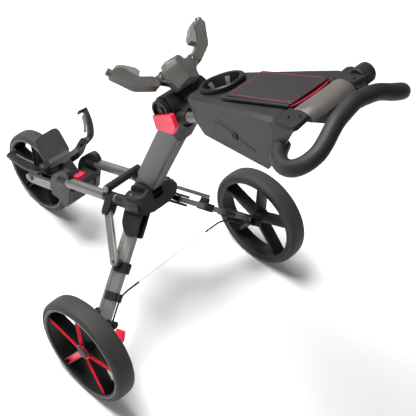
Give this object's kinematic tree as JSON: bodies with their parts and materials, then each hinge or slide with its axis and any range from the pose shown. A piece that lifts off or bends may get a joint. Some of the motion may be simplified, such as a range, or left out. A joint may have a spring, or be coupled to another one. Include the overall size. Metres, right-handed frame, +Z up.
{
  "type": "three-wheel folding golf push cart",
  "caption": "Folding three-wheel golf push cart without a bag: console handle with cup holder, upper and lower bag cradles and a foot brake.",
  "frame": {"origin": "centre of the model's box seen from above, on the ground", "axes": "+X to the cart's right side, +Y towards the front wheel, +Z up"},
  "size_m": [0.6928, 1.0916, 1.0181],
  "materials": {
    "charcoal_plastic": "fine grain",
    "black_plastic": "satin",
    "grey_alloy": "satin anodised",
    "silver_alloy": "satin anodised",
    "foam_tyre": "matt",
    "red_plastic": "semi-gloss",
    "grey_rubber": "matt",
    "black_foam": "matt",
    "steel": "satin"
  },
  "bodies": {
    "chassis": {"hub_casting": "black_plastic", "rail_right": "grey_alloy", "rail_left": "grey_alloy", "stem_pivot_pin": "steel", "front_housing": "charcoal_plastic", "fork_arm_right": "silver_alloy", "fork_arm_left": "silver_alloy", "front_axle": "steel", "cradle_base": "charcoal_plastic", "bag_base_plate": "charcoal_plastic", "brake_wire": "steel"},
    "latch": {"latch_button": "red_plastic"},
    "front_wheel": {"front_tyre": "foam_tyre", "front_rim": "black_plastic", "front_spoke_insert": "red_plastic"},
    "runner": {"runner": "black_plastic"},
    "pedal": {"brake_pedal": "red_plastic"},
    "stem": {"stem_tube": "grey_alloy", "hinge_barrel": "charcoal_plastic", "upper_bag_bracket": "charcoal_plastic"},
    "lever": {"cam_lever": "red_plastic"},
    "handle": {"handle_yoke": "charcoal_plastic", "console_shell": "charcoal_plastic", "cup_holder": "black_plastic", "handle_tube_right": "silver_alloy", "handle_tube_left": "silver_alloy", "handle_grip": "black_foam"},
    "lid": {"scorecard_lid": "charcoal_plastic"},
    "leg_right": {"leg_tube_right": "silver_alloy", "leg_collar_right": "black_plastic", "cable_clamp_right": "black_plastic", "brake_sleeve_right": "black_plastic"},
    "link_right": {"link_bar_right": "silver_alloy"},
    "strut_right": {"strut_right": "silver_alloy"},
    "carrier_right": {"wheel_carrier_right": "black_plastic", "rear_axle_right": "steel"},
    "wheel_right": {"rear_tyre_right": "foam_tyre", "rear_rim_right": "black_plastic", "spoke_insert_right": "red_plastic", "hub_cap_right": "charcoal_plastic"},
    "upper_arm_right": {"upper_arm_right": "charcoal_plastic", "upper_pad_right": "grey_rubber"},
    "lower_arm_right": {"lower_arm_right": "charcoal_plastic", "lower_pad_right": "grey_rubber"},
    "leg_left": {"leg_tube_left": "silver_alloy", "leg_collar_left": "black_plastic", "cable_clamp_left": "black_plastic", "brake_sleeve_left": "black_plastic"},
    "link_left": {"link_bar_left": "silver_alloy"},
    "strut_left": {"strut_left": "silver_alloy"},
    "carrier_left": {"wheel_carrier_left": "black_plastic", "rear_axle_left": "steel"},
    "wheel_left": {"rear_tyre_left": "foam_tyre", "rear_rim_left": "black_plastic", "spoke_insert_left": "red_plastic", "hub_cap_left": "charcoal_plastic"},
    "upper_arm_left": {"upper_arm_left": "charcoal_plastic", "upper_pad_left": "grey_rubber"},
    "lower_arm_left": {"lower_arm_left": "charcoal_plastic", "lower_pad_left": "grey_rubber"}
  },
  "joints": [
    {"name": "leg_fold_left", "type": "hinge", "parent": "chassis", "child": "leg_left", "pos_m": [-0.07937, -0.04117, 0.31583], "axis": [0.673, -0.3032, -0.6746], "range_deg": [0, 60]},
    {"name": "link_fold_left", "type": "hinge", "parent": "chassis", "child": "link_left", "pos_m": [-0.05729, -0.00865, 0.32324], "axis": [0.673, -0.3032, -0.6746], "range_deg": [0, 60]},
    {"name": "carrier_fold_left", "type": "hinge", "parent": "leg_left", "child": "carrier_left", "pos_m": [-0.26509, -0.12987, 0.17043], "axis": [0.673, -0.3032, -0.6746], "range_deg": [-60, 0]},
    {"name": "strut_swing_left", "type": "hinge", "parent": "runner", "child": "strut_left", "pos_m": [-0.08056, 0.05019, 0.3136], "axis": [0.673, -0.3032, -0.6746], "range_deg": [-21.2, 0]},
    {"name": "wheel_spin_left", "type": "hinge", "parent": "carrier_left", "child": "wheel_left", "pos_m": [-0.3194, -0.13625, 0.145], "axis": [1, 0, 0], "continuous": true},
    {"name": "leg_fold_right", "type": "hinge", "parent": "chassis", "child": "leg_right", "pos_m": [0.07937, -0.04117, 0.31583], "axis": [0.673, 0.3032, 0.6746], "range_deg": [0, 60]},
    {"name": "link_fold_right", "type": "hinge", "parent": "chassis", "child": "link_right", "pos_m": [0.05729, -0.00865, 0.32324], "axis": [0.673, 0.3032, 0.6746], "range_deg": [0, 60]},
    {"name": "carrier_fold_right", "type": "hinge", "parent": "leg_right", "child": "carrier_right", "pos_m": [0.26509, -0.12987, 0.17043], "axis": [0.673, 0.3032, 0.6746], "range_deg": [-60, 0]},
    {"name": "strut_swing_right", "type": "hinge", "parent": "runner", "child": "strut_right", "pos_m": [0.08056, 0.05019, 0.3136], "axis": [0.673, 0.3032, 0.6746], "range_deg": [-21.2, 0]},
    {"name": "wheel_spin_right", "type": "hinge", "parent": "carrier_right", "child": "wheel_right", "pos_m": [0.3194, -0.13625, 0.145], "axis": [1, 0, 0], "continuous": true},
    {"name": "runner_slide", "type": "slide", "parent": "chassis", "child": "runner", "axis": [0, 0.9121, -0.41], "range_m": [0, 0.1153]},
    {"name": "front_wheel_spin", "type": "hinge", "parent": "chassis", "child": "front_wheel", "pos_m": [0, 0.42075, 0.125], "axis": [1, 0, 0], "continuous": true},
    {"name": "brake_pedal_press", "type": "hinge", "parent": "carrier_left", "child": "pedal", "pos_m": [-0.28564, -0.16257, 0.16463], "axis": [0.673, -0.3032, -0.6746], "range_deg": [0, 12]},
    {"name": "stem_fold", "type": "hinge", "parent": "chassis", "child": "stem", "pos_m": [0, 0.00345, 0.3763], "axis": [-1, 0, 0], "range_deg": [0, 80]},
    {"name": "handle_fold", "type": "hinge", "parent": "stem", "child": "handle", "pos_m": [0, -0.09625, 0.739], "axis": [1, 0, 0], "range_deg": [0, 90]},
    {"name": "lever_release", "type": "hinge", "parent": "handle", "child": "lever", "pos_m": [-0.06, -0.09625, 0.739], "axis": [1, 0, 0], "range_deg": [0, 60]},
    {"name": "upper_arm_fold_left", "type": "hinge", "parent": "stem", "child": "upper_arm_left", "pos_m": [-0.048, -0.07704, 0.80673], "axis": [0, 0.4651, -0.8852], "range_deg": [0, 60]},
    {"name": "upper_arm_fold_right", "type": "hinge", "parent": "stem", "child": "upper_arm_right", "pos_m": [0.048, -0.07704, 0.80673], "axis": [0, -0.4651, 0.8852], "range_deg": [0, 60]},
    {"name": "lower_arm_fold_left", "type": "hinge", "parent": "chassis", "child": "lower_arm_left", "pos_m": [-0.08, 0.31321, 0.27014], "axis": [0, 0.4651, -0.8852], "range_deg": [0, 40]},
    {"name": "lower_arm_fold_right", "type": "hinge", "parent": "chassis", "child": "lower_arm_right", "pos_m": [0.08, 0.31321, 0.27014], "axis": [0, -0.4651, 0.8852], "range_deg": [0, 40]},
    {"name": "latch_press", "type": "slide", "parent": "chassis", "child": "latch", "axis": [0, -0.41, -0.9121], "range_m": [0, 0.0035], "stiffness_N_per_m": 300},
    {"name": "lid_open", "type": "hinge", "parent": "handle", "child": "lid", "pos_m": [-0.063, -0.25784, 0.88328], "axis": [0, -0.887, 0.4618], "range_deg": [0, 100]}
  ],
  "couplings": [
    {"joint": "leg_fold_right", "follows": "leg_fold_left", "ratio": 1},
    {"joint": "link_fold_left", "follows": "leg_fold_left", "ratio": 1},
    {"joint": "carrier_fold_left", "follows": "leg_fold_left", "ratio": -1},
    {"joint": "strut_swing_left", "follows": "leg_fold_left", "ratio": -0.3528},
    {"joint": "link_fold_right", "follows": "leg_fold_left", "ratio": 1},
    {"joint": "carrier_fold_right", "follows": "leg_fold_left", "ratio": -1},
    {"joint": "strut_swing_right", "follows": "leg_fold_left", "ratio": -0.3528},
    {"joint": "runner_slide", "follows": "leg_fold_left", "m_per_rad": 0.11009}
  ]
}
